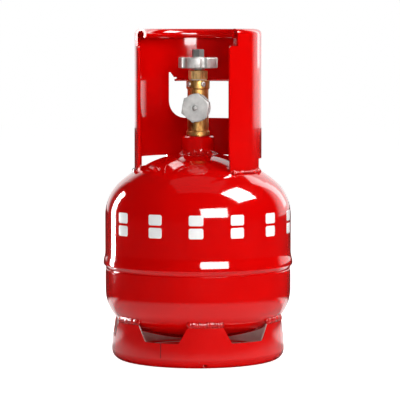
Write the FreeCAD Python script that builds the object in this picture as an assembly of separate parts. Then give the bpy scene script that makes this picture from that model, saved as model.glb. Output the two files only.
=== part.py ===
import FreeCAD, Part
import math
import os

# A small refillable propane cylinder: two drawn steel halves, a welded neck boss, a rolled guard
# collar, a rolled base ring and a brass valve with a handwheel and a plugged side outlet.
# Millimetres, +Z up. The origin is on the cylinder's axis, on the ground. The outlet faces -Y.
# Angles are degrees about +Z, counted from the outlet side (-Y) towards +X.

# Pressure vessel
TANK_R = 101.5
LOWER_R = 101.2
WALL = 2.0
UPPER_TANGENT_Z = 157.2
UPPER_KNUCKLE_R = 50.0
UPPER_DEPTH = 68.8
LOWER_TANGENT_Z = 76.5
LOWER_KNUCKLE_R = 45.0
LOWER_DEPTH = 53.5
RIM_Z = 103.4
RIM_R = 103.4
RIM_EDGE = 1.3
RIM_EDGE_BULGE = 0.39
RIM_FULL_Z = 105.6
RIM_BLEND_Z = 118.0
JOGGLE_Z = 98.8
JOGGLE_DEPTH = 1.5
NECK_OF_LOWER_Z = 114.0
GROOVE_CUT = 0.7
GROOVE_HOLLOW = 0.5

# Neck boss
BOSS_R = 18.0
BOSS_TOP_Z = 244.0
BOSS_BOTTOM_Z = 217.0
BOSS_CHAMFER = 1.4
TAPER_TOP_R = 10.6
TAPER_BOTTOM_R = 9.9
SEALANT = 0.25
NECK_WELD_REACH = 5.5
NECK_WELD_TOP_Z = 231.0
NECK_WELD_SAG = 0.3

# Guard collar
GUARD_R = 69.3
GUARD_WALL = 2.5
GUARD_TURN = -14.0
GUARD_MOUTH_HALF = 49.0
GUARD_BOTTOM_Z = 220.0
GUARD_TOP_Z = 360.5
ROLL_R = 6.0
ROLL_STOP = 9.0
NOTCH_Z = 342.0
WING_CORNER_R = 2.5
HAND_HALF = 49.0
HAND_BOTTOM_Z = 261.0
HAND_TOP_Z = 302.0
HAND_CORNER_R = 20.0
LIP_BEND_R = 4.5
LIP_REACH = 5.0
RELIEF_TOP_Z = 312.0
RELIEF_TOP_WIDTH = 3.2
RELIEF_FOOT_WIDTH = 10.6
FRONT_FOOT = (50.0, 92.0)
BACK_FOOT = (129.0, 152.0)
FOOT_BEAD_WIDTH = 3.4
FOOT_BEAD_HEIGHT = 3.2
FOOT_BEAD_BULGE = 0.5
FOOT_BEAD_SETBACK = 1.5

# Base ring
RING_TOP_R = 93.2
RING_R = 94.3
RING_WALL = 2.5
RING_TOP_Z = 44.0
RING_CURL_R = 11.0
RING_FLAT = 2.0
LIP_CURL_R = 5.0
LIP_TOP_Z = 8.0
WINDOW_COUNT = 6
WINDOW_START = -19.0
WINDOW_TOP_HALF = 29.0
WINDOW_BOTTOM_HALF = 19.8
WINDOW_BOTTOM_Z = 27.0
WINDOW_CORNER_R = 3.0
DRAIN_R = 3.0
DRAIN_TILT = 48.0
SEAM_HALF = 0.6
SEAM_DEPTH = 1.1
TAB_BEAD_HEIGHT = 7.2
TAB_BEAD_BULGE = 1.3

# Valve
VALVE_R = 11.5
VALVE_SHOULDER_R = 12.8
VALVE_FLANGE_TOP_Z = 249.5
VALVE_STEP_Z = 296.0
VALVE_TOP_Z = 304.5
PORT_R = 3.5
SEAT_Z = 270.0
SEAT_R = 5.0
SEAT_FLARE = 0.6
CHAMBER_R = 8.2
CHAMBER_BOTTOM_Z = 267.5
GUIDE_R = 7.2
GUIDE_Z = 281.0
BONNET_SOCKET_R = 8.7
BONNET_BOTTOM_Z = 293.0
RUNNING = 0.08
FIT = 0.02

# Outlet and its plug
OUTLET_Z = 275.0
OUTLET_R = 10.9
OUTLET_PITCH = 1.814
OUTLET_DEPTH = 1.0
OUTLET_END = 25.0
OUTLET_THREAD_START = 13.0
OUTLET_BORE_R = 4.5
PLUG_BACK = 15.2
PLUG_FLANGE_R = 15.4
PLUG_FLANGE = 2.6
PLUG_FLATS = 28.0
PLUG_FACE = 29.6
PLUG_TURN = 20.0
NUB_R = 2.8
NUB_HEIGHT = 2.2
NUB_ROUNDING = 0.7
DIMPLE_R = 4.0
DIMPLE = 0.6
PLUG_BORE_R = 11.3
PLUG_BORE_END = 27.0
GASKET = 1.6
GAP = 0.3

# Spindle and handwheel
STEM_R = 4.0
STEM_COLLAR_R = 6.6
STEM_COLLAR_Z = (295.0, 297.6)
STEM_SEAL = 1.4
DRIVE_SIDE = 5.0
DRIVE_BOTTOM_Z = 279.5
DISC_LIFT = 3.0
DISC_TOP_Z = 289.0
DISC_FOOT_R = 6.0
DISC_WAIST_Z = 275.5
DISC_FLARE = 1.3
DISC_SEAT_R = 4.8
DISC_SEAT = 2.0
BONNET_TOP_Z = 315.0
BONNET_FLATS = 18.8
BONNET_TURN = -10.0
BONNET_WASHER = 1.0
LOCK_PIN_R = 3.0
LOCK_PIN_ANGLES = (-46.0, 32.0)
LOCK_PIN_Z = 300.3
LOCK_PIN_REACH = 14.2
LOCK_PIN_NEAR = 7.5
WHEEL_R = 21.4
WHEEL_BOTTOM_Z = 317.6
WHEEL_TOP_Z = 329.0
WHEEL_EDGE = 1.3
WHEEL_HUB_R = 7.4
WHEEL_HUB_Z = 316.0
WHEEL_SQUARE = 6.2
WHEEL_LOBES = 6
WHEEL_TURN = -8.0
SCALLOP_R = 4.6
SCALLOP_AT = 23.4
WHEEL_RECESS = (8.6, 16.2)
WHEEL_WEB_Z = (321.5, 326.0)
STUD_R = 3.0
STUD_TOP_Z = 337.4
WASHER_R = 6.9
WASHER = 1.0
NUT_FLATS = 12.0
NUT_TURN = -12.0
NUT_TOP_Z = 338.0
EDGE = 0.8

ORIGIN = FreeCAD.Vector(0, 0, 0)
UP = FreeCAD.Vector(0, 0, 1)
OUT = FreeCAD.Vector(0, -1, 0)
FULL = 360.0


def at(radius, height, degrees=0.0):
    """Point at a radius and a height, turned from the outlet side towards +X."""
    turn = math.radians(degrees)
    return FreeCAD.Vector(radius * math.sin(turn), -radius * math.cos(turn), height)


def outline(start, *moves):
    """Face in the radius-height plane: a move is a corner, or (via, end) for an arc."""
    edges = []
    here = start
    for move in moves + (start,):
        if isinstance(move[0], tuple):
            edges.append(Part.Arc(at(*here), at(*move[0]), at(*move[1])).toShape())
            here = move[1]
        elif math.dist(here, move) > FIT / 10:
            edges.append(Part.makeLine(at(*here), at(*move)))
            here = move
    return Part.Face(Part.Wire(edges))


def lathe(face, start=0.0, sweep=FULL):
    """Solid that a face sweeps about the cylinder's axis."""
    solid = face.revolve(ORIGIN, UP, sweep)
    solid.rotate(ORIGIN, UP, start)
    return solid


def tube(outer, inner, low, high, start=0.0, sweep=FULL):
    """Upright tube, or a sector of one."""
    return lathe(outline((outer, low), (outer, high), (inner, high), (inner, low)), start, sweep)


def rod(radius, low, high):
    """Upright solid cylinder on the axis."""
    return Part.makeCylinder(radius, high - low, at(0, low), UP)


def outlet_rod(radius, near, far):
    """Cylinder on the outlet's axis, between two distances from the cylinder's axis."""
    return Part.makeCylinder(radius, far - near, at(near, OUTLET_Z), OUT)


def prism(flats, sides, low, high, turn=0.0):
    """Upright regular prism, given across its flats."""
    corner = flats / 2 / math.cos(math.pi / sides)
    step = FULL / sides
    points = [at(corner, low, turn + step * (k + 0.5)) for k in range(sides + 1)]
    return Part.Face(Part.makePolygon(points)).extrude(UP * (high - low))


def turned_to_outlet(shape):
    """Copy of an upright shape, laid over so that its axis is the outlet's axis."""
    laid = shape.copy()
    laid.rotate(ORIGIN, FreeCAD.Vector(1, 0, 0), 90)
    laid.translate(FreeCAD.Vector(0, 0, OUTLET_Z))
    return laid


def copies(shape, count, start=0.0):
    """Copies of a shape, evenly spaced about the axis."""
    made = []
    for k in range(count):
        piece = shape.copy()
        piece.rotate(ORIGIN, UP, start + k * FULL / count)
        made.append(piece)
    return made


def mirrored(shape):
    """The shape and its mirror image across the plane through the outlet and the axis."""
    return [shape, shape.mirror(ORIGIN, FreeCAD.Vector(1, 0, 0))]


def rounded(solid, radius, wanted):
    """The solid with the edges that a test picks rounded."""
    edges = [edge for edge in solid.Edges if wanted(edge)]
    return solid.makeFillet(radius, edges)


def save(name, shape):
    """Write one sub-part to its own file."""
    shape = shape.removeSplitter()
    shape.exportStep(f"parts/{name}.step")
    print(name, len(shape.Solids), round(shape.Volume), shape.isValid())


# ---- pressure vessel ----


class Head:
    """A dished end: a crown arc that meets a knuckle arc, tangent to the wall."""

    def __init__(self, radius, tangent_z, knuckle, depth, side):
        self.radius = radius
        self.tangent_z = tangent_z
        self.knuckle = knuckle
        self.side = side
        reach = radius - knuckle
        self.crown = (reach ** 2 + depth ** 2 - knuckle ** 2) / (2 * (depth - knuckle))
        self.crown_z = tangent_z + side * (depth - self.crown)
        self.turn = math.asin(reach / (self.crown - knuckle))

    def on_crown(self, angle, inset):
        """Point on the crown at an angle from the axis."""
        reach = self.crown - inset
        return (reach * math.sin(angle), self.crown_z + self.side * reach * math.cos(angle))

    def on_knuckle(self, angle, inset):
        """Point on the knuckle at an angle from the axis."""
        reach = self.knuckle - inset
        across = self.radius - self.knuckle + reach * math.sin(angle)
        return (across, self.tangent_z + self.side * reach * math.cos(angle))

    def moves(self, inset, end_radius):
        """Arcs from the tangent line to a radius on the crown."""
        end = math.asin(end_radius / (self.crown - inset))
        middle = (self.turn + math.pi / 2) / 2
        knuckle = (self.on_knuckle(middle, inset), self.on_crown(self.turn, inset))
        crown = (self.on_crown((self.turn + end) / 2, inset), self.on_crown(end, inset))
        return knuckle, crown

    def back_moves(self, inset, end_radius):
        """The same arcs, from the radius on the crown to the tangent line."""
        knuckle, crown = self.moves(inset, end_radius)
        tangent = (self.radius - inset, self.tangent_z)
        return (crown[0], knuckle[1]), (knuckle[0], tangent)

    def surface_z(self, radius):
        """Height of the crown's outside at a radius."""
        return self.crown_z + self.side * math.sqrt(self.crown ** 2 - radius ** 2)

    def solid(self, thickness=0.0):
        """Filled head, made thicker by a skin, for cutting pieces that stand on it."""
        start = (self.radius + thickness, self.tangent_z)
        return lathe(outline(start, *self.moves(-thickness, 0), (0, self.tangent_z), start))


UPPER = Head(TANK_R, UPPER_TANGENT_Z, UPPER_KNUCKLE_R, UPPER_DEPTH, 1)
LOWER = Head(LOWER_R, LOWER_TANGENT_Z, LOWER_KNUCKLE_R, LOWER_DEPTH, -1)


def bell(inset):
    """S-curve that widens the wall into the rim: the arc ends and middles, from the top down."""
    reach = RIM_R - TANK_R
    fall = RIM_BLEND_Z - RIM_FULL_Z
    top = (TANK_R - inset, RIM_BLEND_Z)
    upper = (TANK_R - inset + reach / 8, RIM_BLEND_Z - fall / 4)
    middle = (TANK_R - inset + reach / 2, RIM_BLEND_Z - fall / 2)
    lower = (RIM_R - inset - reach / 8, RIM_FULL_Z + fall / 4)
    return top, upper, middle, lower, (RIM_R - inset, RIM_FULL_Z)


def upper_shell():
    """Upper half with its belled rim and the hole for the boss."""
    inner_end = UPPER.moves(WALL, BOSS_R)[1][1]
    top, upper, middle, lower, full = bell(0)
    top_in, upper_in, middle_in, lower_in, full_in = bell(WALL)
    edge_via = (RIM_R - RIM_EDGE_BULGE, (RIM_Z + RIM_FULL_Z) / 2 - RIM_EDGE_BULGE)
    face = outline(
        (RIM_R - RIM_EDGE, RIM_Z), (edge_via, full), (lower, middle), (upper, top),
        (TANK_R, UPPER_TANGENT_Z), *UPPER.moves(0, BOSS_R), inner_end,
        *UPPER.back_moves(WALL, BOSS_R), top_in, (upper_in, middle_in), (lower_in, full_in),
        (RIM_R - WALL, RIM_Z))
    return lathe(face)


def lower_shell():
    """Lower half with the joggled edge that the upper rim covers."""
    neck = LOWER_R - JOGGLE_DEPTH
    shoulder = JOGGLE_Z + JOGGLE_DEPTH
    apex = LOWER.on_crown(0, WALL)
    face = outline(
        (neck, NECK_OF_LOWER_Z), (neck, shoulder), (LOWER_R, JOGGLE_Z), (LOWER_R, LOWER_TANGENT_Z),
        *LOWER.moves(0, 0), apex, *LOWER.back_moves(WALL, 0), (LOWER_R - WALL, JOGGLE_Z),
        (neck - WALL, shoulder), (neck - WALL, NECK_OF_LOWER_Z))
    return lathe(face)


def girth_weld():
    """Weld ring that fills the groove between the two halves."""
    neck = LOWER_R - JOGGLE_DEPTH
    shoulder = JOGGLE_Z + JOGGLE_DEPTH
    inside = RIM_R - WALL
    low = (LOWER_R - GROOVE_CUT, JOGGLE_Z + GROOVE_CUT)
    high = (RIM_R - RIM_EDGE, RIM_Z)
    hollow = ((low[0] + high[0]) / 2 - GROOVE_HOLLOW, (low[1] + high[1]) / 2)
    face = outline(
        (neck, shoulder), (neck, RIM_Z + WALL), (inside, RIM_Z + WALL), (inside, RIM_Z), high,
        (hollow, low))
    return lathe(face)


def neck_boss():
    """Threaded steel bung that the valve screws into."""
    face = outline(
        (BOSS_R, BOSS_BOTTOM_Z), (BOSS_R, BOSS_TOP_Z - BOSS_CHAMFER),
        (BOSS_R - BOSS_CHAMFER, BOSS_TOP_Z), (TAPER_TOP_R, BOSS_TOP_Z),
        (TAPER_BOTTOM_R, BOSS_BOTTOM_Z))
    return lathe(face)


def neck_weld():
    """Fillet weld round the boss, on the dome."""
    spread = BOSS_R + NECK_WELD_REACH
    foot = UPPER.surface_z(spread)
    via = (BOSS_R + NECK_WELD_REACH * NECK_WELD_SAG, (foot + NECK_WELD_TOP_Z) / 2)
    face = outline(
        (BOSS_R, foot - WALL), (spread, foot - WALL), (spread, foot), (via, (BOSS_R, NECK_WELD_TOP_Z)))
    return lathe(face).cut(UPPER.solid())


# ---- guard collar ----


def guard_roll():
    """Rim that is rolled inwards, stopping short of the free edges."""
    centre_r = GUARD_R - ROLL_R
    centre_z = GUARD_TOP_Z - ROLL_R
    inner = ROLL_R - GUARD_WALL
    half = math.sqrt(0.5)
    outer_via = (centre_r, GUARD_TOP_Z)
    outer_end = (centre_r - ROLL_R * half, centre_z - ROLL_R * half)
    inner_end = (centre_r - inner * half, centre_z - inner * half)
    inner_via = (centre_r, centre_z + inner)
    face = outline(
        (GUARD_R, centre_z), (outer_via, outer_end), inner_end,
        (inner_via, (GUARD_R - GUARD_WALL, centre_z)))
    start = GUARD_MOUTH_HALF + ROLL_STOP
    return lathe(face, start, FULL - 2 * start)


def guard_wall():
    """Rolled sheet from one free edge to the other, with notched upper corners."""
    inner = GUARD_R - GUARD_WALL
    sweep = FULL - 2 * GUARD_MOUTH_HALF
    low = tube(GUARD_R, inner, GUARD_BOTTOM_Z, NOTCH_Z, GUARD_MOUTH_HALF, sweep)
    start = GUARD_MOUTH_HALF + ROLL_STOP
    high = tube(GUARD_R, inner, NOTCH_Z, GUARD_TOP_Z - ROLL_R, start, FULL - 2 * start)
    corner = at(GUARD_R - GUARD_WALL / 2, NOTCH_Z, GUARD_MOUTH_HALF)

    def is_corner(edge):
        middle = edge.CenterOfMass
        near = math.hypot(abs(middle.x) - corner.x, middle.y - corner.y) < GUARD_WALL
        return near and abs(middle.z - NOTCH_Z) < FIT and abs(edge.Length - GUARD_WALL) < FIT

    return rounded(low, WING_CORNER_R, is_corner).fuse(high)


def relief():
    """Cutter for the tapered slot that frees one end of the hand hole's lip."""
    near = GUARD_R - 2 * GUARD_WALL
    corners = ((0, HAND_TOP_Z), (0, RELIEF_TOP_Z), (RELIEF_TOP_WIDTH, RELIEF_TOP_Z),
               (RELIEF_FOOT_WIDTH, HAND_TOP_Z), (0, HAND_TOP_Z))
    wire = Part.makePolygon([FreeCAD.Vector(x, -near, z) for x, z in corners])
    cutter = Part.Face(wire).extrude(OUT * (4 * GUARD_WALL))
    cutter.rotate(ORIGIN, UP, FULL / 2 - HAND_HALF)
    return cutter


def hand_hole():
    """Cutter for the hand hole, with the relief slots beside its lip."""
    near = GUARD_R - 2 * GUARD_WALL
    far = GUARD_R + GUARD_WALL
    start = FULL / 2 - HAND_HALF
    hole = tube(far, near, HAND_BOTTOM_Z, HAND_TOP_Z, start, 2 * HAND_HALF)

    def is_low_corner(edge):
        radial = abs(edge.Length - (far - near)) < FIT
        return radial and abs(edge.CenterOfMass.z - HAND_BOTTOM_Z) < FIT

    hole = rounded(hole, HAND_CORNER_R, is_low_corner)
    bend = tube(far, near, HAND_TOP_Z, HAND_TOP_Z + LIP_BEND_R, start, 2 * HAND_HALF)
    return hole.fuse([bend] + mirrored(relief()))


def hand_lip():
    """Lip over the hand hole, folded outwards so that it is kind to the fingers."""
    inside = LIP_BEND_R - GUARD_WALL
    centre_r = GUARD_R + inside
    centre_z = HAND_TOP_Z + LIP_BEND_R
    half = math.sqrt(0.5)
    outer_via = (centre_r - LIP_BEND_R * half, centre_z - LIP_BEND_R * half)
    inner_via = (centre_r - inside * half, centre_z - inside * half)
    face = outline(
        (GUARD_R - GUARD_WALL, centre_z), (outer_via, (centre_r, HAND_TOP_Z)),
        (centre_r + LIP_REACH, HAND_TOP_Z), (centre_r + LIP_REACH, HAND_TOP_Z + GUARD_WALL),
        (centre_r, HAND_TOP_Z + GUARD_WALL), (inner_via, (GUARD_R, centre_z)))
    half_angle = HAND_HALF - math.degrees(RELIEF_FOOT_WIDTH / GUARD_R)
    return lathe(face, FULL / 2 - half_angle, 2 * half_angle)


def guard_foot(first, last):
    """Foot that reaches down to the dome."""
    low = UPPER.surface_z(GUARD_R) - GUARD_WALL
    leg = tube(GUARD_R, GUARD_R - GUARD_WALL, low, GUARD_BOTTOM_Z, first, last - first)
    return leg.cut(UPPER.solid())


def guard_feet():
    """The four feet, two under the wings and two behind."""
    return mirrored(guard_foot(*FRONT_FOOT)) + mirrored(guard_foot(*BACK_FOOT))


def guard_collar():
    """The whole guard, one rolled sheet."""
    sheet = guard_wall().cut(hand_hole())
    whole = sheet.fuse([guard_roll(), hand_lip()] + guard_feet())
    whole.rotate(ORIGIN, UP, GUARD_TURN)
    return whole


def foot_bead(first, last):
    """Weld bead along the outside of a foot."""
    radius = GUARD_R + FOOT_BEAD_WIDTH
    low = UPPER.surface_z(radius)
    top = UPPER.surface_z(GUARD_R) + FOOT_BEAD_HEIGHT
    via = (GUARD_R + FOOT_BEAD_WIDTH / 2 + FOOT_BEAD_BULGE, (low + top) / 2 + FOOT_BEAD_BULGE)
    face = outline((GUARD_R, low), (GUARD_R, top), (via, (radius, low)))
    start = first + FOOT_BEAD_SETBACK
    return lathe(face, start, last - FOOT_BEAD_SETBACK - start).cut(UPPER.solid())


def guard_welds():
    """Weld beads at the four feet."""
    beads = mirrored(foot_bead(*FRONT_FOOT)) + mirrored(foot_bead(*BACK_FOOT))
    group = Part.makeCompound(beads)
    group.rotate(ORIGIN, UP, GUARD_TURN)
    return group


# ---- base ring ----


def ring_wall():
    """Slightly tapered ring, its lower edge curled inwards to a flat foot and an inner lip."""
    curl = RING_CURL_R
    inner = curl - RING_WALL
    lip = LIP_CURL_R
    lip_inner = lip - RING_WALL
    half = math.sqrt(0.5)
    centre = RING_R - curl
    turn = centre - RING_FLAT
    face = outline(
        (RING_TOP_R, RING_TOP_Z), (RING_R, curl),
        ((centre + curl * half, curl - curl * half), (centre, 0)), (turn, 0),
        ((turn - lip * half, lip - lip * half), (turn - lip, lip)), (turn - lip, LIP_TOP_Z),
        (turn - lip + RING_WALL, LIP_TOP_Z), (turn - lip + RING_WALL, lip),
        ((turn - lip_inner * half, lip - lip_inner * half), (turn, RING_WALL)),
        (centre, RING_WALL),
        ((centre + inner * half, curl - inner * half), (RING_R - RING_WALL, curl)),
        (RING_TOP_R - RING_WALL, RING_TOP_Z))
    return lathe(face)


def window():
    """Cutter for one window, wider at the top, on the outlet side."""
    top = RING_TOP_Z + WINDOW_CORNER_R
    slope = (WINDOW_TOP_HALF - WINDOW_BOTTOM_HALF) / (RING_TOP_Z - WINDOW_BOTTOM_Z)
    wide = WINDOW_TOP_HALF + slope * WINDOW_CORNER_R
    near = -LOWER_R
    corners = [
        (-wide, top), (-WINDOW_BOTTOM_HALF, WINDOW_BOTTOM_Z),
        (WINDOW_BOTTOM_HALF, WINDOW_BOTTOM_Z), (wide, top), (-wide, top)]
    wire = Part.makePolygon([FreeCAD.Vector(x, near, z) for x, z in corners])
    cutter = Part.Face(wire).extrude(FreeCAD.Vector(0, RING_R / 2, 0))

    def is_low_corner(edge):
        along = abs(edge.Length - RING_R / 2) < FIT
        return along and abs(edge.CenterOfMass.z - WINDOW_BOTTOM_Z) < FIT

    return rounded(cutter, WINDOW_CORNER_R, is_low_corner)


def drain():
    """Cutter for one drain hole, square to the curl's face."""
    tilt = math.radians(DRAIN_TILT)
    start = at(RING_R - RING_CURL_R, RING_CURL_R)
    return Part.makeCylinder(
        DRAIN_R, 2 * RING_CURL_R, start, at(math.cos(tilt), -math.sin(tilt)))


def seam_slot(depth):
    """Thin upright block at the ring's butt seam, below a window, sunk to a depth."""
    block = Part.makeBox(2 * SEAM_HALF, RING_CURL_R, WINDOW_BOTTOM_Z - RING_CURL_R)
    block.translate(FreeCAD.Vector(-SEAM_HALF, depth - RING_R - RING_CURL_R, RING_CURL_R))
    block.rotate(ORIGIN, UP, WINDOW_START)
    return block


def base_ring():
    """Ring with its windows, drains and seam."""
    windows = copies(window(), WINDOW_COUNT, WINDOW_START)
    drains = copies(drain(), WINDOW_COUNT, WINDOW_START + FULL / WINDOW_COUNT / 2)
    return ring_wall().cut(windows + drains + [seam_slot(SEAM_DEPTH)])


def base_seam_weld():
    """Weld that closes the butt seam, a little below the ring's face."""
    return seam_slot(SEAM_DEPTH).common(ring_wall()).cut(seam_slot(SEAM_DEPTH / 2))


def base_tab_welds():
    """Weld beads where the six tabs meet the lower half."""
    tab = FULL / WINDOW_COUNT - 2 * math.degrees(math.asin(WINDOW_TOP_HALF / RING_TOP_R))
    inner = RING_TOP_R - RING_WALL
    top = RING_TOP_Z + TAB_BEAD_HEIGHT
    middle = (RING_TOP_R + TAB_BEAD_BULGE, (RING_TOP_Z + top) / 2)
    face = outline((inner, RING_TOP_Z), (RING_TOP_R, RING_TOP_Z), (middle, (RING_TOP_R, top)),
                   (inner, top))
    bead = lathe(face, -tab / 2, tab).cut(LOWER.solid())
    start = WINDOW_START + FULL / WINDOW_COUNT / 2
    return Part.makeCompound(copies(bead, WINDOW_COUNT, start))


# ---- valve ----


def inlet_radius(height, gap):
    """Radius of the valve's taper thread at a height, with room for the sealant."""
    slope = (TAPER_TOP_R - TAPER_BOTTOM_R) / (BOSS_TOP_Z - BOSS_BOTTOM_Z)
    return TAPER_BOTTOM_R + slope * (height - BOSS_BOTTOM_Z) - gap


def valve_blank():
    """Outside of the valve body without its outlet."""
    low = inlet_radius(BOSS_BOTTOM_Z, SEALANT)
    high = inlet_radius(BOSS_TOP_Z, SEALANT)
    face = outline(
        (0, BOSS_BOTTOM_Z), (low, BOSS_BOTTOM_Z), (high, BOSS_TOP_Z + EDGE),
        (VALVE_SHOULDER_R, BOSS_TOP_Z + EDGE), (VALVE_SHOULDER_R, VALVE_FLANGE_TOP_Z - EDGE),
        (VALVE_SHOULDER_R - EDGE, VALVE_FLANGE_TOP_Z), (VALVE_R, VALVE_FLANGE_TOP_Z),
        (VALVE_R, VALVE_STEP_Z - 2 * EDGE), (VALVE_SHOULDER_R, VALVE_STEP_Z),
        (VALVE_SHOULDER_R, VALVE_TOP_Z - EDGE), (VALVE_SHOULDER_R - EDGE, VALVE_TOP_Z),
        (0, VALVE_TOP_Z))
    return lathe(face)


def valve_cavity():
    """Gas passage, chamber, disc guide and bonnet socket, as one cutter."""
    face = outline(
        (0, BOSS_BOTTOM_Z - 1), (PORT_R, BOSS_BOTTOM_Z - 1), (PORT_R, SEAT_Z), (SEAT_R, SEAT_Z),
        (SEAT_R + SEAT_FLARE, CHAMBER_BOTTOM_Z), (CHAMBER_R, CHAMBER_BOTTOM_Z), (CHAMBER_R, GUIDE_Z),
        (GUIDE_R, GUIDE_Z), (GUIDE_R, BONNET_BOTTOM_Z), (BONNET_SOCKET_R, BONNET_BOTTOM_Z),
        (BONNET_SOCKET_R, VALVE_TOP_Z + 1), (0, VALVE_TOP_Z + 1))
    return lathe(face)


def outlet_stub():
    """Side outlet with its left-hand thread drawn as rings."""
    points = [(0, 0), (OUTLET_R - OUTLET_DEPTH, 0), (OUTLET_R - OUTLET_DEPTH, OUTLET_THREAD_START)]
    count = int((OUTLET_END - OUTLET_THREAD_START) / OUTLET_PITCH)
    for k in range(count):
        foot = OUTLET_THREAD_START + k * OUTLET_PITCH
        points.append((OUTLET_R, foot + OUTLET_PITCH / 2))
        points.append((OUTLET_R - OUTLET_DEPTH, foot + OUTLET_PITCH))
    points.append((OUTLET_R - OUTLET_DEPTH, OUTLET_END))
    points.append((0, OUTLET_END))
    return turned_to_outlet(lathe(outline(*points)))


def lock_pin(reach, radius):
    """The lock pins, or the holes for them, in the upper shoulder of the body."""
    return [
        Part.makeCylinder(radius, reach - LOCK_PIN_NEAR, at(LOCK_PIN_NEAR, LOCK_PIN_Z, angle),
                          at(1, 0, angle))
        for angle in LOCK_PIN_ANGLES]


def valve_body():
    """Forged brass body."""
    outlet_bore = outlet_rod(OUTLET_BORE_R, GUIDE_R, OUTLET_END + 1)
    bosses = valve_blank().fuse(outlet_stub())
    holes = lock_pin(VALVE_SHOULDER_R + 1, LOCK_PIN_R + FIT)
    return bosses.cut([valve_cavity(), outlet_bore] + holes)


def thread_sealant():
    """Sealing compound between the taper thread and the boss."""
    low = inlet_radius(BOSS_BOTTOM_Z, 0)
    high = inlet_radius(BOSS_TOP_Z, 0)
    face = outline(
        (low - SEALANT, BOSS_BOTTOM_Z), (low, BOSS_BOTTOM_Z), (high, BOSS_TOP_Z),
        (high - SEALANT, BOSS_TOP_Z))
    return lathe(face)


def chamfered(flats, low, high):
    """Turned blank that trims the upper corners of a hexagon."""
    corner = flats / math.sqrt(3) + EDGE / 2
    return lathe(outline(
        (0, low), (corner, low), (corner, high - EDGE), (flats / 2 - EDGE / 2, high), (0, high)))


def bonnet():
    """Gland nut that closes the valve and holds the stem down."""
    bore = STEM_R + RUNNING
    pocket_top = STEM_COLLAR_Z[1] + STEM_SEAL
    seat_z = VALVE_TOP_Z + BONNET_WASHER
    sleeve = tube(BONNET_SOCKET_R - FIT, bore, BONNET_BOTTOM_Z, seat_z)
    head = prism(BONNET_FLATS, 6, seat_z, BONNET_TOP_Z, BONNET_TURN)
    head = head.common(chamfered(BONNET_FLATS, seat_z, BONNET_TOP_Z))
    hole = rod(bore, BONNET_BOTTOM_Z - 1, BONNET_TOP_Z + 1)
    pocket = rod(STEM_COLLAR_R + RUNNING, BONNET_BOTTOM_Z - 1, pocket_top)
    pins = lock_pin(VALVE_SHOULDER_R, LOCK_PIN_R + FIT)
    return sleeve.fuse(head).cut([hole, pocket] + pins)


def bonnet_gasket():
    """Flat washer between the body and the bonnet."""
    return tube(BONNET_FLATS / 2, BONNET_SOCKET_R, VALVE_TOP_Z, VALVE_TOP_Z + BONNET_WASHER)


def is_outer_rim(edge):
    """Whether an edge is the rim of a lock pin's outer end."""
    middle = edge.CenterOfMass
    return math.hypot(middle.x, middle.y) > LOCK_PIN_REACH - FIT and edge.Closed


def bonnet_lock_pins():
    """The two round-headed steel pins that stop the bonnet from turning."""
    pins = lock_pin(LOCK_PIN_REACH, LOCK_PIN_R)
    return Part.makeCompound([rounded(pin, 2 * EDGE, is_outer_rim) for pin in pins])


def spindle():
    """Stem with its collar, the square that drives the disc, and the wheel's square and stud."""
    low, high = STEM_COLLAR_Z
    drive = prism(DRIVE_SIDE, 4, DRIVE_BOTTOM_Z, low)
    collar = rod(STEM_COLLAR_R, low, high)
    shaft = rod(STEM_R, high, WHEEL_HUB_Z)
    square = prism(WHEEL_SQUARE - 2 * FIT, 4, WHEEL_HUB_Z, WHEEL_TOP_Z - WASHER, WHEEL_TURN)
    stud = rod(STUD_R, WHEEL_TOP_Z - WASHER, STUD_TOP_Z)
    return drive.fuse([collar, shaft, square, stud])


def stem_seal():
    """Seal ring that sits on the stem's collar, under the bonnet."""
    low = STEM_COLLAR_Z[1]
    return tube(STEM_COLLAR_R - RUNNING, STEM_R, low, low + STEM_SEAL - RUNNING)


def handwheel():
    """Six-lobed cast wheel with a hub and a thin web."""
    disc = rod(WHEEL_R, WHEEL_BOTTOM_Z, WHEEL_TOP_Z)
    cutter = Part.makeCylinder(SCALLOP_R, FULL, at(SCALLOP_AT, 0), UP)
    disc = disc.cut(copies(cutter, WHEEL_LOBES, WHEEL_TURN + FULL / WHEEL_LOBES / 2))
    disc = rounded(disc, WHEEL_EDGE, lambda e: abs(e.CenterOfMass.z - WHEEL_TOP_Z) < FIT
                   or abs(e.CenterOfMass.z - WHEEL_BOTTOM_Z) < FIT)
    upper = tube(WHEEL_RECESS[1], WHEEL_RECESS[0], WHEEL_WEB_Z[1], WHEEL_TOP_Z + 1)
    lower = tube(WHEEL_RECESS[1], WHEEL_RECESS[0], WHEEL_BOTTOM_Z - 1, WHEEL_WEB_Z[0])
    hub = rod(WHEEL_HUB_R, WHEEL_HUB_Z, WHEEL_BOTTOM_Z + 1)
    hole = prism(WHEEL_SQUARE, 4, WHEEL_HUB_Z - 1, WHEEL_TOP_Z + 1, WHEEL_TURN)
    return disc.cut([upper, lower]).fuse(hub).cut(hole)


def handwheel_washer():
    """Plain washer on the wheel."""
    return tube(WASHER_R, STUD_R + FIT, WHEEL_TOP_Z, WHEEL_TOP_Z + WASHER)


def handwheel_nut():
    """Hexagon nut that holds the wheel."""
    low = WHEEL_TOP_Z + WASHER
    body = prism(NUT_FLATS, 6, low, NUT_TOP_Z, NUT_TURN)
    body = body.common(chamfered(NUT_FLATS, low, NUT_TOP_Z))
    return body.cut(rod(STUD_R + FIT, low - 1, NUT_TOP_Z + 1))


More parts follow.
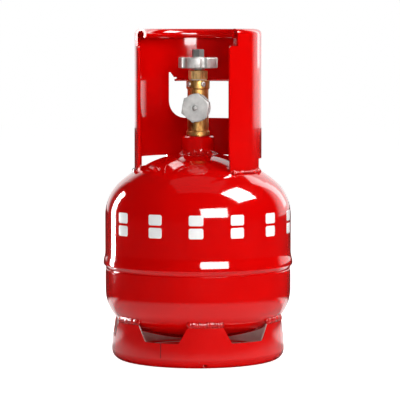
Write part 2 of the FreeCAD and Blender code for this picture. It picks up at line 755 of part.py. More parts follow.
def valve_disc():
    """Rising disc: its foot holds the seat, its socket takes the stem's square."""
    guide = GUIDE_R - RUNNING
    floor = SEAT_Z + DISC_SEAT
    face = outline(
        (0, floor), (DISC_SEAT_R, floor), (DISC_SEAT_R, SEAT_Z), (DISC_FOOT_R, SEAT_Z),
        (DISC_FOOT_R, DISC_WAIST_Z), (guide, DISC_WAIST_Z + DISC_FLARE), (guide, DISC_TOP_Z),
        (0, DISC_TOP_Z))
    socket_bottom = DRIVE_BOTTOM_Z - DISC_LIFT - GAP
    socket = prism(DRIVE_SIDE + 2 * RUNNING, 4, socket_bottom, DISC_TOP_Z + 1)
    return lathe(face).cut(socket)


def disc_seat():
    """Soft seat pressed into the disc's foot."""
    return rod(DISC_SEAT_R, SEAT_Z + FIT, SEAT_Z + DISC_SEAT)


# ---- outlet plug ----


def outlet_plug():
    """Blind cap nut on the outlet: round flange, hexagon and a small centre nub."""
    hexagon_back = PLUG_BACK + PLUG_FLANGE
    flange = rod(PLUG_FLANGE_R, PLUG_BACK, hexagon_back)
    hexagon = prism(PLUG_FLATS, 6, hexagon_back, PLUG_FACE, PLUG_TURN)
    hexagon = hexagon.common(chamfered(PLUG_FLATS, hexagon_back, PLUG_FACE))
    dimple = rod(DIMPLE_R, PLUG_FACE - DIMPLE, PLUG_FACE + 1)
    nub_top = PLUG_FACE + NUB_HEIGHT
    nub = rounded(rod(NUB_R, PLUG_FACE - 1, nub_top), NUB_R * NUB_ROUNDING,
                  lambda e: abs(e.CenterOfMass.z - nub_top) < FIT)
    bore = rod(PLUG_BORE_R, PLUG_BACK - 1, PLUG_BORE_END)
    plug = flange.fuse(hexagon).cut([dimple, bore]).fuse(nub)
    return turned_to_outlet(plug)


def outlet_gasket():
    """Washer that the plug presses against the outlet's end."""
    low = OUTLET_END + GAP / 2
    return turned_to_outlet(tube(PLUG_BORE_R - GAP, OUTLET_BORE_R, low, low + GASKET))


def main():
    os.makedirs("parts", exist_ok=True)
    builders = (
        upper_shell, lower_shell, girth_weld, neck_boss, neck_weld, guard_collar, guard_welds,
        base_ring, base_seam_weld, base_tab_welds, valve_body, thread_sealant, bonnet,
        bonnet_gasket, bonnet_lock_pins, spindle, stem_seal, handwheel, handwheel_washer,
        handwheel_nut, valve_disc, disc_seat, outlet_plug, outlet_gasket)
    for build in builders:
        save(build.__name__, build())


main()
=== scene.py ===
import math

import bmesh
import bpy
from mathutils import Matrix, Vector, noise

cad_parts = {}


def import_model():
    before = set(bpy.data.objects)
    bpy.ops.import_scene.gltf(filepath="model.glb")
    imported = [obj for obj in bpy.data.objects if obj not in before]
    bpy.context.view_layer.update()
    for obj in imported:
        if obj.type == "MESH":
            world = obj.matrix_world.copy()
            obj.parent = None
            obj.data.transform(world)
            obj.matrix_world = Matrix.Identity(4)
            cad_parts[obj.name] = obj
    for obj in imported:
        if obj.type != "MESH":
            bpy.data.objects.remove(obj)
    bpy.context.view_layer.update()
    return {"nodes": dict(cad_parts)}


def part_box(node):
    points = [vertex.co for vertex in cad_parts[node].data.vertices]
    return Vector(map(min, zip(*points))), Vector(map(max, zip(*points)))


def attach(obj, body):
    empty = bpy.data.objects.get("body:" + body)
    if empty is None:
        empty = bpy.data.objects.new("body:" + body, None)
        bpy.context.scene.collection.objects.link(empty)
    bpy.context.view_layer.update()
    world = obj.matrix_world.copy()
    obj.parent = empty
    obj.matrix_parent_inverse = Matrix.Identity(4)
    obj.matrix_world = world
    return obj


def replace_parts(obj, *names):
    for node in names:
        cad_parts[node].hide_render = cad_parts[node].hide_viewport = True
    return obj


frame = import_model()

MM = 0.001
FULL = 2 * math.pi

# ---- places worked out from the frame ----

boss_low, boss_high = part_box("neck_boss")
weld_low, weld_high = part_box("neck_weld")


def outer_radius(node, low, high):
    """Largest radius of a CAD node's points between two heights."""
    points = frame["nodes"][node].data.vertices
    return max(math.hypot(p.co.x, p.co.y) for p in points if low <= p.co.z <= high)


def arcs(node, gap=5.0):
    """First and last angle of each separate arc that a CAD node's points cover."""
    points = frame["nodes"][node].data.vertices
    angles = sorted(math.degrees(math.atan2(p.co.x, -p.co.y)) % 360 for p in points)
    starts = [k for k in range(len(angles)) if (angles[k] - angles[k - 1]) % 360 > gap]
    found = []
    for k, start in enumerate(starts):
        last = angles[starts[(k + 1) % len(starts)] - 1]
        found.append((angles[start], angles[start] + (last - angles[start]) % 360))
    return found


def at(radius, z, degrees):
    """Point at a radius and a height, degrees from the outlet side (-Y) towards +X."""
    turn = math.radians(degrees)
    return Vector((radius * math.sin(turn), -radius * math.cos(turn), z))


# ---- node materials ----


class Nodes:
    """Small helper that builds one material's node tree."""

    def __init__(self, name, colour, roughness, metallic=0.0):
        self.material = bpy.data.materials.new(name)
        self.material.use_nodes = True
        self.tree = self.material.node_tree
        self.shader = self.tree.nodes["Principled BSDF"]
        self.shader.inputs["Base Color"].default_value = (*colour, 1.0)
        self.shader.inputs["Roughness"].default_value = roughness
        self.shader.inputs["Metallic"].default_value = metallic
        self.coords = self.tree.nodes.new("ShaderNodeTexCoord").outputs["Object"]

    def link(self, source, target):
        self.tree.links.new(source, target)

    def noise(self, scale, detail=4.0, rough=0.5, stretch=None):
        """Noise value in the object's own space; stretch scales each axis."""
        node = self.tree.nodes.new("ShaderNodeTexNoise")
        node.inputs["Scale"].default_value = scale
        node.inputs["Detail"].default_value = detail
        node.inputs["Roughness"].default_value = rough
        source = self.coords
        if stretch:
            mapping = self.tree.nodes.new("ShaderNodeMapping")
            mapping.inputs["Scale"].default_value = stretch
            self.link(self.coords, mapping.inputs["Vector"])
            source = mapping.outputs["Vector"]
        self.link(source, node.inputs["Vector"])
        return node.outputs["Fac"]

    def band(self, source, low, high, out_low=0.0, out_high=1.0):
        """Remap a value, clamped, from one range to another."""
        node = self.tree.nodes.new("ShaderNodeMapRange")
        for name, value in (("From Min", low), ("From Max", high),
                            ("To Min", out_low), ("To Max", out_high)):
            node.inputs[name].default_value = value
        self.link(source, node.inputs["Value"])
        return node.outputs["Result"]

    def times(self, first, second):
        """Product of two values; the second may be a plain number."""
        node = self.tree.nodes.new("ShaderNodeMath")
        node.operation = "MULTIPLY"
        self.link(first, node.inputs[0])
        if isinstance(second, (int, float)):
            node.inputs[1].default_value = second
        else:
            self.link(second, node.inputs[1])
        return node.outputs["Value"]

    def mix(self, mask, first, second):
        """Colour mixed from two by a mask; each is a colour or an output."""
        node = self.tree.nodes.new("ShaderNodeMix")
        node.data_type = "RGBA"
        self.link(mask, node.inputs["Factor"])
        for socket, value in ((node.inputs[6], first), (node.inputs[7], second)):
            if isinstance(value, tuple):
                socket.default_value = (*value, 1.0)
            else:
                self.link(value, socket)
        return node.outputs[2]

    def height(self):
        """The point's height in the object's own space, in metres."""
        node = self.tree.nodes.new("ShaderNodeSeparateXYZ")
        self.link(self.coords, node.inputs["Vector"])
        return node.outputs["Z"]

    def from_axis(self):
        """The point's distance from the object's own Z axis, in metres."""
        flat = self.tree.nodes.new("ShaderNodeVectorMath")
        flat.operation = "MULTIPLY"
        flat.inputs[1].default_value = (1.0, 1.0, 0.0)
        self.link(self.coords, flat.inputs[0])
        length = self.tree.nodes.new("ShaderNodeVectorMath")
        length.operation = "LENGTH"
        self.link(flat.outputs["Vector"], length.inputs[0])
        return length.outputs["Value"]

    def colour(self, source):
        self.link(source, self.shader.inputs["Base Color"])

    def roughness(self, source):
        self.link(source, self.shader.inputs["Roughness"])

    def bump(self, source, strength, distance):
        node = self.tree.nodes.new("ShaderNodeBump")
        node.inputs["Strength"].default_value = strength
        node.inputs["Distance"].default_value = distance
        self.link(source, node.inputs["Height"])
        self.link(node.outputs["Normal"], self.shader.inputs["Normal"])

    def coat(self, weight, rough):
        self.shader.inputs["Coat Weight"].default_value = weight
        self.shader.inputs["Coat Roughness"].default_value = rough


CHIP_TOP_Z = 11 * MM
CHIP_FULL_Z = 2 * MM
RING_INSIDE_R = 92.6 * MM
RING_OUTSIDE_R = 92.9 * MM
# heights where the painted bounce light starts within the base ring
BOUNCE_PAINT_LOW_Z = 7 * MM
BOUNCE_PAINT_FULL_Z = 9 * MM


def red_enamel(name="red_enamel", ripple=0.12, chips=0.0):
    """Glossy sprayed enamel with faint orange peel and a soft colour drift.

    With chips it is the base ring's: worn at the foot, and pale grey within the ring, painted
    bounce light from the floor.
    """
    m = Nodes(name, (0.62, 0.002, 0.0015), 0.14)
    drift = m.band(m.noise(9.0, 3.0), 0.35, 0.65)
    base = m.mix(drift, (0.65, 0.0006, 0.0005), (0.74, 0.0012, 0.0008))
    specks = m.band(m.noise(620.0, 2.0), 0.76, 0.80)
    dust_wear_and_bounce_light = m.mix(m.times(specks, 0.25), base, (0.30, 0.002, 0.002))
    if chips:
        edge = m.band(m.height(), CHIP_TOP_Z, CHIP_FULL_Z)
        patch = m.band(m.noise(150.0, 6.0, 0.65), 0.66 - chips, 0.70 - chips)
        worn = m.times(edge, patch)
        dust_wear_and_bounce_light = m.mix(worn, dust_wear_and_bounce_light, (0.12, 0.07, 0.055))
        # painted light: pale grey on the ring's inner wall above the lip, standing in for the
        # floor's bounce light
        inside = m.times(m.band(m.from_axis(), RING_OUTSIDE_R, RING_INSIDE_R),
                         m.band(m.height(), BOUNCE_PAINT_LOW_Z, BOUNCE_PAINT_FULL_Z))
        cloud = m.band(m.noise(60.0, 4.0), 0.3, 0.7)
        painted_bounce_light = m.mix(cloud, (0.70, 0.66, 0.61), (0.86, 0.83, 0.79))
        dust_wear_and_bounce_light = m.mix(inside, dust_wear_and_bounce_light, painted_bounce_light)
        m.roughness(m.band(worn, 0.0, 1.0, 0.14, 0.6))
    else:
        m.roughness(m.band(m.noise(34.0, 5.0, 0.6), 0.3, 0.7, 0.05, 0.11))
    m.colour(dust_wear_and_bounce_light)
    m.bump(m.noise(260.0, 3.0, 0.55), ripple, 0.0002)
    m.coat(0.85, 0.02)
    return m.material


def weld_enamel(name, shade=1.0):
    """The same enamel pooled over a rough weld; a lower shade is a darker weld."""
    m = Nodes(name, (0.6 * shade, 0.004, 0.003), 0.3)
    pool = m.band(m.noise(240.0, 4.0), 0.35, 0.6)
    m.colour(m.mix(pool, (0.42 * shade, 0.002, 0.0015), (0.66 * shade, 0.004, 0.003)))
    m.roughness(m.band(m.noise(90.0, 4.0), 0.3, 0.7, 0.12, 0.28))
    m.bump(m.noise(300.0, 4.0, 0.55), 0.3, 0.0005)
    m.coat(0.55, 0.16)
    return m.material


def brass(name, tint, rough, patina_and_reflection_share, metal):
    """Forged brass with a fine tool grain, mottled dark orange-brown as far as the share says: part
    stain, part painted reflection of the red tank.
    """
    m = Nodes(name, tint, rough, metal)
    # painted reflection: the dark orange-brown streaks are part brass stain, part the red tank's
    # reflection painted into the colour
    patina_and_red_reflection = m.band(m.noise(150.0, 6.0, 0.7, (1.0, 1.0, 0.35)), 0.46, 0.58)
    fine = m.band(m.noise(420.0, 4.0), 0.3, 0.7)
    clean = m.mix(fine, tint, tuple(c * 0.82 for c in tint))
    m.colour(m.mix(m.times(patina_and_red_reflection, patina_and_reflection_share), clean, (0.24, 0.085, 0.014)))
    m.roughness(m.band(m.noise(120.0, 6.0, 0.6), 0.3, 0.7, rough - 0.08, rough + 0.18))
    m.bump(m.noise(900.0, 4.0, 0.6, (1.0, 1.0, 0.35)), 0.22, 0.0003)
    return m.material


def zinc(name, tint, rough, metal):
    """Dull zinc plate: cloudy, with tiny scratches."""
    m = Nodes(name, tint, rough, metal)
    cloud = m.band(m.noise(90.0, 5.0, 0.6), 0.3, 0.7)
    dark = tuple(c * 0.66 for c in tint)
    cloudy = m.mix(cloud, dark, tint)
    scratch = m.band(m.noise(300.0, 3.0, 0.7, (6.0, 0.6, 1.0)), 0.62, 0.70)
    m.colour(m.mix(m.times(scratch, 0.5), cloudy, tuple(min(1.0, c * 1.35) for c in tint)))
    m.roughness(m.band(m.noise(160.0, 5.0), 0.3, 0.7, rough - 0.1, rough + 0.14))
    m.bump(m.noise(700.0, 5.0, 0.6), 0.25, 0.0002)
    return m.material


def cast_aluminium():
    """Bright die cast with a slightly pebbled skin and cloudy darker patches."""
    m = Nodes("cast_aluminium", (0.6, 0.6, 0.59), 0.3, 0.55)
    cloud = m.band(m.noise(110.0, 5.0), 0.32, 0.68)
    m.colour(m.mix(cloud, (0.42, 0.41, 0.39), (0.78, 0.77, 0.75)))
    m.roughness(m.band(m.noise(230.0, 5.0), 0.3, 0.7, 0.44, 0.62))
    m.bump(m.noise(520.0, 4.0), 0.35, 0.0004)
    return m.material


def plain(name, colour, rough):
    """Soft material with a faint mottle, for seals and compound."""
    m = Nodes(name, colour, rough)
    cloud = m.band(m.noise(400.0, 4.0), 0.3, 0.7)
    m.colour(m.mix(cloud, tuple(c * 0.8 for c in colour), colour))
    m.roughness(m.band(m.noise(200.0, 3.0), 0.3, 0.7, rough - 0.1, rough + 0.1))
    m.bump(m.noise(800.0, 3.0), 0.2, 0.0002)
    return m.material


def white_paint():
    """Stencilled white paint: slightly thin in places, with a soft sheen."""
    m = Nodes("white_paint", (0.86, 0.86, 0.85), 0.35)
    thin = m.band(m.noise(260.0, 5.0, 0.6), 0.62, 0.74)
    m.colour(m.mix(m.times(thin, 0.25), (0.97, 0.97, 0.96), (0.92, 0.55, 0.53)))
    m.roughness(m.band(m.noise(120.0, 4.0), 0.3, 0.7, 0.26, 0.45))
    m.bump(m.noise(500.0, 3.0), 0.2, 0.0002)
    m.coat(0.5, 0.1)
    return m.material


RED = red_enamel()
RED_BASE = red_enamel("red_enamel_base", 0.14, 0.02)
RED_WELD = weld_enamel("red_enamel_weld")
RED_SEAM = weld_enamel("red_enamel_seam", 0.3)
BRASS = brass("brass_forged", (0.74, 0.43, 0.13), 0.40, 0.9, 0.8)
BRASS_BRIGHT = brass("brass_turned", (1.0, 0.66, 0.26), 0.36, 0.6, 0.5)
# painted shade: the stem brass is tinted dark for the shade under the handwheel
BRASS_SHADED_STEM = brass("brass_stem_painted_shade", (0.30, 0.17, 0.06), 0.40, 0.9, 0.85)
ZINC = zinc("zinc_plate", (0.66, 0.66, 0.64), 0.5, 0.35)
ZINC_DARK = zinc("zinc_nut", (0.30, 0.32, 0.31), 0.42, 0.6)
STEEL = zinc("pin_steel", (0.66, 0.64, 0.60), 0.34, 0.5)
CAST = cast_aluminium()
NYLON = plain("nylon", (0.84, 0.82, 0.74), 0.5)
SEALANT = plain("sealing_compound", (0.86, 0.85, 0.80), 0.6)
RUBBER = plain("black_rubber", (0.02, 0.02, 0.02), 0.55)
PAINT = white_paint()

CAD_FINISH = {
    "upper_shell": RED, "lower_shell": RED, "girth_weld": RED, "neck_boss": RED,
    "neck_weld": RED_WELD, "guard_collar": RED, "guard_welds": RED_WELD, "base_ring": RED_BASE,
    "base_seam_weld": RED_SEAM, "base_tab_welds": RED_WELD, "valve_body": BRASS,
    "thread_sealant": SEALANT, "bonnet": BRASS_BRIGHT, "bonnet_gasket": NYLON,
    "bonnet_lock_pins": STEEL, "spindle": BRASS_SHADED_STEM, "stem_seal": RUBBER, "handwheel": CAST,
    "handwheel_washer": ZINC, "handwheel_nut": ZINC_DARK, "valve_disc": BRASS,
    "disc_seat": NYLON, "outlet_plug": ZINC, "outlet_gasket": RUBBER,
}
for node_name, finish in CAD_FINISH.items():
    slots = frame["nodes"][node_name].data.materials
    slots.clear()
    slots.append(finish)

# ---- mesh helpers ----


def new_piece(name, mesh_data, material, body):
    """Smooth-shaded object from a bmesh, riding on a body."""
    mesh = bpy.data.meshes.new(name)
    bmesh.ops.recalc_face_normals(mesh_data, faces=mesh_data.faces)
    mesh_data.to_mesh(mesh)
    mesh_data.free()
    for face in mesh.polygons:
        face.use_smooth = True
    mesh.materials.append(material)
    piece = bpy.data.objects.new(name, mesh)
    bpy.context.scene.collection.objects.link(piece)
    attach(piece, body)
    return piece


BEAD_SIDES = 14


def tube_along(mesh_data, path, radii, normals, squeeze):
    """Closed tube along a path; squeeze flattens it along the given normals."""
    rings = []
    count = len(path)
    for k, centre in enumerate(path):
        before = path[max(k - 1, 0)]
        after = path[min(k + 1, count - 1)]
        tangent = (after - before).normalized()
        up = (normals[k] - normals[k].dot(tangent) * tangent).normalized()
        side = tangent.cross(up)
        ring = []
        for j in range(BEAD_SIDES):
            turn = FULL * j / BEAD_SIDES
            offset = side * math.cos(turn) + up * math.sin(turn) * squeeze
            ring.append(mesh_data.verts.new(centre + offset * radii[k]))
        rings.append(ring)
    for first, second in zip(rings, rings[1:]):
        for j in range(BEAD_SIDES):
            nxt = (j + 1) % BEAD_SIDES
            mesh_data.faces.new((first[j], first[nxt], second[nxt], second[j]))
    mesh_data.faces.new(list(reversed(rings[0])))
    mesh_data.faces.new(rings[-1])


BEAD_PITCH = 2.2 * MM
RIPPLE_STEPS = 4
RIPPLE = 0.06
DRIFT_RATE = 0.33
DRIFT = 0.34
DRIFT_RISE = 0.8
LUMP_RATE = 1.1
LUMP = 0.22
LUMP_ROW = 5.0
KNOB_NARROWNESS = 9
END_SHARPNESS = 18
END_LEAST = 0.08


def weld_bead(mesh_data, radius, z, first, last, bead, lean, seed, squeeze, knob):
    """Rippled weld bead on an arc about the axis.

    The lean tips it outwards, the squeeze flattens it, and the knob swells its two ends.
    """
    length = radius * math.radians(last - first)
    steps = max(2 * RIPPLE_STEPS, int(length / BEAD_PITCH * RIPPLE_STEPS))
    path, radii, normals = [], [], []
    for k in range(steps + 1):
        angle = first + (last - first) * k / steps
        off_centre = abs(2 * k / steps - 1)
        drift = noise.noise(Vector((angle * DRIFT_RATE, seed, 0.0))) * DRIFT
        lump = noise.noise(Vector((angle * LUMP_RATE, seed, LUMP_ROW))) * LUMP
        swell = 1.0 + RIPPLE * math.cos(FULL * k / RIPPLE_STEPS) + drift + lump
        blob = knob * math.exp(-((1 - off_centre) * KNOB_NARROWNESS - 1) ** 2)
        end = (1.0 + blob) * math.sqrt(max(END_LEAST, 1.0 - off_centre ** END_SHARPNESS))
        path.append(at(radius, z, angle) + Vector((0, 0, drift * bead * DRIFT_RISE)))
        radii.append(bead * swell * end)
        outward = at(1.0, 0.0, angle)
        normals.append(outward * math.sin(lean) + Vector((0, 0, math.cos(lean))))
    tube_along(mesh_data, path, radii, normals, squeeze)


# ---- painted marks ----

MARKS_START = -46.0
MARKS_STEP = 25.4
MARKS_COUNT = 6
MARKS_LOW = 139.5 * MM
MARKS_HIGH = 164.5 * MM
MARKS_SPLIT = 2.6 * MM
MARKS_WIDTH = 15.5 * MM
MARKS_CORNER = 1.6 * MM
MARKS_SKIN = 0.12 * MM
MARKS_ACROSS = 14
MARKS_TALL = 12
PLAIN_WALL_LOW = 118 * MM
PLAIN_WALL_HIGH = 158 * MM


def painted_block(mesh_data, wall, centre, low, high):
    """One thin rounded block that follows the round wall."""
    across, tall = MARKS_ACROSS, MARKS_TALL
    columns = []
    for i in range(across + 1):
        u = 2 * i / across - 1
        past_flat = max(0.0, abs(u) * MARKS_WIDTH / 2 - (MARKS_WIDTH / 2 - MARKS_CORNER))
        inset = MARKS_CORNER - math.sqrt(max(0.0, MARKS_CORNER ** 2 - past_flat ** 2))
        column = []
        for j in range(tall + 1):
            z = low + inset + (high - low - 2 * inset) * j / tall
            column.append((u * MARKS_WIDTH / 2, z))
        columns.append(column)

    def put(offset, radius, z):
        return mesh_data.verts.new(at(radius, z, centre + math.degrees(offset / wall)))

    outer = [[put(x, wall + MARKS_SKIN, z) for x, z in column] for column in columns]
    inner = [[put(x, wall - MARKS_SKIN, z) for x, z in column] for column in columns]
    for i in range(across):
        for j in range(tall):
            mesh_data.faces.new(
                (outer[i][j], outer[i + 1][j], outer[i + 1][j + 1], outer[i][j + 1]))
            mesh_data.faces.new(
                (inner[i][j], inner[i][j + 1], inner[i + 1][j + 1], inner[i + 1][j]))
        for j, flip in ((0, False), (tall, True)):
            quad = (outer[i][j], inner[i][j], inner[i + 1][j], outer[i + 1][j])
            mesh_data.faces.new(tuple(reversed(quad)) if flip else quad)
    for i in (0, across):
        for j in range(tall):
            mesh_data.faces.new((outer[i][j], outer[i][j + 1], inner[i][j + 1], inner[i][j]))


def painted_marks():
    """Six plain pairs of stacked white blocks round the front of the upper half."""
    wall = outer_radius("upper_shell", PLAIN_WALL_LOW, PLAIN_WALL_HIGH)
    middle = (MARKS_LOW + MARKS_HIGH) / 2
    rows = ((MARKS_LOW, middle - MARKS_SPLIT / 2), (middle + MARKS_SPLIT / 2, MARKS_HIGH))
    mesh_data = bmesh.new()
    for k in range(MARKS_COUNT):
        for low, high in rows:
            painted_block(mesh_data, wall, MARKS_START + MARKS_STEP * k, low, high)
    return new_piece("painted_marks", mesh_data, PAINT, "tank")


# ---- welds with ripples ----

NECK_SIDES = 144
NECK_ROWS = 14
NECK_OVERLAP = 0.2 * MM
NECK_LUMP = 2.0 * MM
NECK_LUMPS_ROUND = 4
NECK_LUMPS_DOWN = 1.3
NECK_RIPPLE = 0.16 * MM
NECK_RIPPLES = 34
NECK_RIPPLE_SLANT = 2.2
NECK_SPREAD = 0.7
NECK_SUNK = 1.5 * MM
NECK_UNDERCUT = 1.0 * MM


def neck_bead():
    """Lumpy fillet round the boss."""
    mesh_data = bmesh.new()
    inner = outer_radius("neck_boss", boss_low.z, boss_high.z) - NECK_OVERLAP
    outer = weld_high.x
    top, foot = weld_high.z, weld_low.z

    def ring(place):
        """Circle of points; place gives each one's radius and height from its angle."""
        angles = [360 * i / NECK_SIDES for i in range(NECK_SIDES)]
        return [mesh_data.verts.new(at(*place(math.radians(angle)), angle)) for angle in angles]

    def fillet(share):
        """Place on the lumpy fillet, from the boss (share 0) down to the shell (share 1)."""
        turn = share * math.pi / 2

        def place(angle):
            spot = Vector((math.cos(angle) * NECK_LUMPS_ROUND,
                           math.sin(angle) * NECK_LUMPS_ROUND, share * NECK_LUMPS_DOWN))
            ripple = math.sin(angle * NECK_RIPPLES + share * NECK_RIPPLE_SLANT) * NECK_RIPPLE
            grow = (noise.noise(spot) * NECK_LUMP + ripple) * math.sin(share * math.pi)
            radius = inner + (outer - inner) * (1 - math.cos(turn)) + grow * NECK_SPREAD
            return radius, top - (top - foot) * math.sin(turn) + grow
        return place

    rings = [ring(fillet(j / NECK_ROWS)) for j in range(NECK_ROWS + 1)]
    rings.append(ring(lambda angle: (outer - NECK_UNDERCUT, foot - NECK_SUNK)))
    rings.append(ring(lambda angle: (inner, foot - NECK_SUNK)))
    for first, second in zip(rings, rings[1:] + rings[:1]):
        for i in range(NECK_SIDES):
            nxt = (i + 1) % NECK_SIDES
            mesh_data.faces.new((first[i], second[i], second[nxt], first[nxt]))
    return new_piece("neck_weld_bead", mesh_data, RED_WELD, "tank")


BEAD_OVERRUN = 0.6
SEED_STEP = 3.7
GUARD_PLAIN_LOW = 250 * MM
GUARD_PLAIN_HIGH = 290 * MM
FOOT_STANDOFF = 0.6 * MM
FOOT_DROP = 2.4 * MM
FOOT_BEAD = 1.9 * MM
FOOT_LEAN = math.radians(35)
FOOT_SQUEEZE = 0.85
FOOT_KNOB = 0.75
TAB_TOP_LOW = 40 * MM
TAB_TOP_HIGH = 46 * MM
TAB_SETBACK = 1.3 * MM
TAB_BEAD = 3.5 * MM
TAB_LEAN = math.radians(80)
TAB_SQUEEZE = 0.55
TAB_KNOB = 0.25


def arc_beads(node, name, radius, z, bead, lean, squeeze, knob):
    """Rippled beads in place of a CAD node's plain ones."""
    mesh_data = bmesh.new()
    for k, (first, last) in enumerate(arcs(node)):
        weld_bead(mesh_data, radius, z, first - BEAD_OVERRUN, last + BEAD_OVERRUN, bead, lean,
                  SEED_STEP * k, squeeze, knob)
    piece = new_piece(name, mesh_data, RED_WELD, "tank")
    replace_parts(piece, node)


painted_marks()
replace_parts(neck_bead(), "neck_weld")
foot_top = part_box("guard_welds")[1].z
foot_r = outer_radius("guard_collar", GUARD_PLAIN_LOW, GUARD_PLAIN_HIGH) + FOOT_STANDOFF
arc_beads("guard_welds", "guard_foot_beads", foot_r, foot_top - FOOT_DROP,
          FOOT_BEAD, FOOT_LEAN, FOOT_SQUEEZE, FOOT_KNOB)
tab_low, tab_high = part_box("base_tab_welds")
tab_r = outer_radius("base_ring", TAB_TOP_LOW, TAB_TOP_HIGH) - TAB_SETBACK
arc_beads("base_tab_welds", "base_tab_beads", tab_r, (tab_low.z + tab_high.z) / 2,
          TAB_BEAD, TAB_LEAN, TAB_SQUEEZE, TAB_KNOB)

# ---- floor, light and camera: distances in metres, angles in degrees ----

FLOOR_RADIUS = 6.0
FLOOR_GLOW = 0.9
FLOOR_BOUNCE = 0.30
FLOOR_MIRROR = 0.36
FLOOR_MIRROR_AFAR = 0.02
FLOOR_MIRROR_NEAR = 0.24
FLOOR_MIRROR_FAR = 0.34
FLOOR_SHADE_NEAR = 0.09
FLOOR_SHADE_FAR = 0.13
FLOOR_BEHIND_NEAR = 0.08
FLOOR_BEHIND_FAR = 0.13
FLOOR_BEHIND_END = 0.42
VIEW_AZIMUTH = 6.0
VIEW_DISTANCE = 2.5
VIEW_HEIGHT = 0.358
VIEW_TARGET_Z = 0.1735
FOCAL_MM = 206.2
SENSOR_MM = 36.0
VIEW_SHIFT_X = 0.005
WALL_AZIMUTH = 165.0
WALL_MIRROR = 1.0
WALL_EDGE = 0.62
WALL_WHOLE = 0.80
ROOM_MIRROR = 0.006
ROOM_FILL = 0.14


def floor_in_mirrors(m):
    """Strength of the floor in reflections: dark under the tank, pale round it, white behind it."""
    length = m.tree.nodes.new("ShaderNodeVectorMath")
    length.operation = "LENGTH"
    m.link(m.coords, length.inputs[0])
    reach = length.outputs["Value"]
    around = m.band(reach, FLOOR_MIRROR_NEAR, FLOOR_MIRROR_FAR, FLOOR_MIRROR, FLOOR_MIRROR_AFAR)
    shadowed = m.band(reach, FLOOR_SHADE_NEAR, FLOOR_SHADE_FAR)
    turn = math.radians(VIEW_AZIMUTH)
    away = m.tree.nodes.new("ShaderNodeVectorMath")
    away.operation = "DOT_PRODUCT"
    away.inputs[1].default_value = (-math.sin(turn), math.cos(turn), 0.0)
    m.link(m.coords, away.inputs[0])
    behind = m.times(m.band(away.outputs["Value"], FLOOR_BEHIND_NEAR, FLOOR_BEHIND_FAR),
                     m.band(reach, FLOOR_MIRROR_FAR, FLOOR_BEHIND_END, 1.0, 0.0))
    brighter = m.tree.nodes.new("ShaderNodeMath")
    brighter.operation = "MAXIMUM"
    m.link(m.times(around, shadowed), brighter.inputs[0])
    m.link(behind, brighter.inputs[1])
    return brighter.outputs["Value"]


def floor():
    """Plain pale floor."""
    mesh_data = bmesh.new()
    bmesh.ops.create_circle(mesh_data, cap_ends=True, radius=FLOOR_RADIUS, segments=96)
    mesh = bpy.data.meshes.new("floor")
    mesh_data.to_mesh(mesh)
    mesh_data.free()
    stage = bpy.data.objects.new("floor", mesh)
    bpy.context.scene.collection.objects.link(stage)
    m = Nodes("floor_white", (0.7, 0.7, 0.7), 0.6)
    m.shader.inputs["Emission Color"].default_value = (1.0, 1.0, 1.0, 1.0)
    m.shader.inputs["Specular IOR Level"].default_value = 0.0
    lit = m.tree.nodes.new("ShaderNodeLightPath")
    glow = m.tree.nodes.new("ShaderNodeMapRange")
    glow.inputs["To Min"].default_value = FLOOR_GLOW
    glow.inputs["To Max"].default_value = FLOOR_BOUNCE
    m.link(lit.outputs["Is Diffuse Ray"], glow.inputs["Value"])
    m.link(glow.outputs["Result"], m.shader.inputs["Emission Strength"])
    mirror = m.tree.nodes.new("ShaderNodeEmission")
    m.link(floor_in_mirrors(m), mirror.inputs["Strength"])
    either = m.tree.nodes.new("ShaderNodeMixShader")
    m.link(lit.outputs["Is Glossy Ray"], either.inputs["Fac"])
    m.link(m.shader.outputs["BSDF"], either.inputs[1])
    m.link(mirror.outputs["Emission"], either.inputs[2])
    m.link(either.outputs["Shader"], m.tree.nodes["Material Output"].inputs["Surface"])
    mesh.materials.append(m.material)


def softbox(name, azimuth, elevation, distance, width, height, power, spark=1.0, aim_z=0.16):
    """Rectangular light, placed by angles from the camera's side of the object.

    Surfaces are lit with the power; mirrored, the panel is brighter by the spark.
    """
    turn = math.radians(VIEW_AZIMUTH + azimuth)
    lift = math.radians(elevation)
    direction = Vector((
        math.sin(turn) * math.cos(lift), -math.cos(turn) * math.cos(lift), math.sin(lift)))
    for part, energy in (("lit", power), ("mirrored", power * spark)):
        light = bpy.data.lights.new(f"{name}_{part}", "AREA")
        light.shape = "RECTANGLE"
        light.size = width
        light.size_y = height
        light.energy = energy
        lamp = bpy.data.objects.new(f"{name}_{part}", light)
        lamp.location = Vector((0, 0, aim_z)) + direction * distance
        lamp.rotation_euler = (-direction).to_track_quat("-Z", "Y").to_euler()
        lamp.visible_camera = False
        lamp.visible_diffuse = part == "lit"
        lamp.visible_glossy = part == "mirrored"
        light.cycles.use_multiple_importance_sampling = part == "mirrored"
        bpy.context.scene.collection.objects.link(lamp)


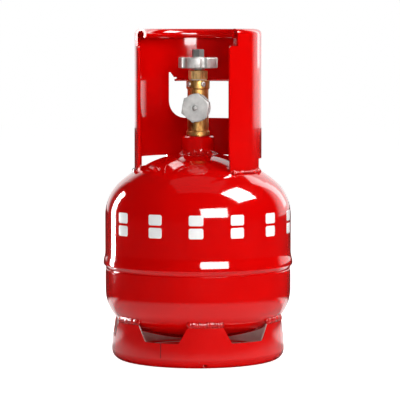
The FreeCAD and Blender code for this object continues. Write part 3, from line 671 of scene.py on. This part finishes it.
def world():
    """White surround for the camera, a soft fill, and a dark room with a white wall in mirrors."""
    made = bpy.data.worlds.new("studio")
    bpy.context.scene.world = made
    made.use_nodes = True
    tree = made.node_tree
    tree.nodes.clear()

    def add(kind, **values):
        node = tree.nodes.new(kind)
        for name, value in values.items():
            setattr(node, name, value)
        return node

    def room(strength):
        node = add("ShaderNodeBackground")
        node.inputs["Strength"].default_value = strength
        node.inputs["Color"].default_value = (1, 1, 1, 1)
        return node

    path = add("ShaderNodeLightPath")
    coords = add("ShaderNodeTexCoord")
    toward_wall = add("ShaderNodeVectorMath", operation="DOT_PRODUCT")
    turn = math.radians(VIEW_AZIMUTH + WALL_AZIMUTH)
    toward_wall.inputs[1].default_value = (math.sin(turn), -math.cos(turn), 0.0)
    tree.links.new(coords.outputs["Generated"], toward_wall.inputs[0])
    wall = add("ShaderNodeMapRange", interpolation_type="SMOOTHSTEP")
    for name, value in (("From Min", WALL_EDGE), ("From Max", WALL_WHOLE),
                        ("To Min", ROOM_MIRROR), ("To Max", WALL_MIRROR)):
        wall.inputs[name].default_value = value
    tree.links.new(toward_wall.outputs["Value"], wall.inputs["Value"])
    mirror = room(1.0)
    tree.links.new(wall.outputs["Result"], mirror.inputs["Strength"])
    fill_or_mirror = add("ShaderNodeMixShader")
    tree.links.new(path.outputs["Is Glossy Ray"], fill_or_mirror.inputs["Fac"])
    tree.links.new(room(ROOM_FILL).outputs["Background"], fill_or_mirror.inputs[1])
    tree.links.new(mirror.outputs["Background"], fill_or_mirror.inputs[2])
    seen = add("ShaderNodeMixShader")
    tree.links.new(path.outputs["Is Camera Ray"], seen.inputs["Fac"])
    tree.links.new(fill_or_mirror.outputs["Shader"], seen.inputs[1])
    tree.links.new(room(1.0).outputs["Background"], seen.inputs[2])
    out = add("ShaderNodeOutputWorld")
    tree.links.new(seen.outputs["Shader"], out.inputs["Surface"])


def camera():
    """Long lens at the guard's height, looking slightly down."""
    data = bpy.data.cameras.new("camera")
    data.lens = FOCAL_MM
    data.sensor_width = SENSOR_MM
    data.shift_x = VIEW_SHIFT_X
    cam = bpy.data.objects.new("camera", data)
    bpy.context.scene.collection.objects.link(cam)
    turn = math.radians(VIEW_AZIMUTH)
    cam.location = Vector((
        VIEW_DISTANCE * math.sin(turn), -VIEW_DISTANCE * math.cos(turn), VIEW_HEIGHT))
    aim = Vector((0, 0, VIEW_TARGET_Z)) - cam.location
    cam.rotation_euler = aim.to_track_quat("-Z", "Y").to_euler()
    data.clip_start = 0.05
    data.clip_end = 50
    bpy.context.scene.camera = cam


floor()
world()
softbox("strip_left", -123, 15, 0.8, 0.12, 0.5, 3, 3.2, 0.06)
softbox("window_right", 75, 50, 1.5, 0.75, 0.75, 13, 2.5)
softbox("front_right", 20, 17, 1.6, 0.95, 0.62, 11, 2.4)
softbox("rim_right", 140, 25, 1.7, 0.4, 1.3, 2.5, 1.0)
softbox("top_fill", 0, 88, 1.8, 1.2, 1.2, 3, 0.15)
camera()
bpy.context.scene.view_settings.view_transform = "Standard"
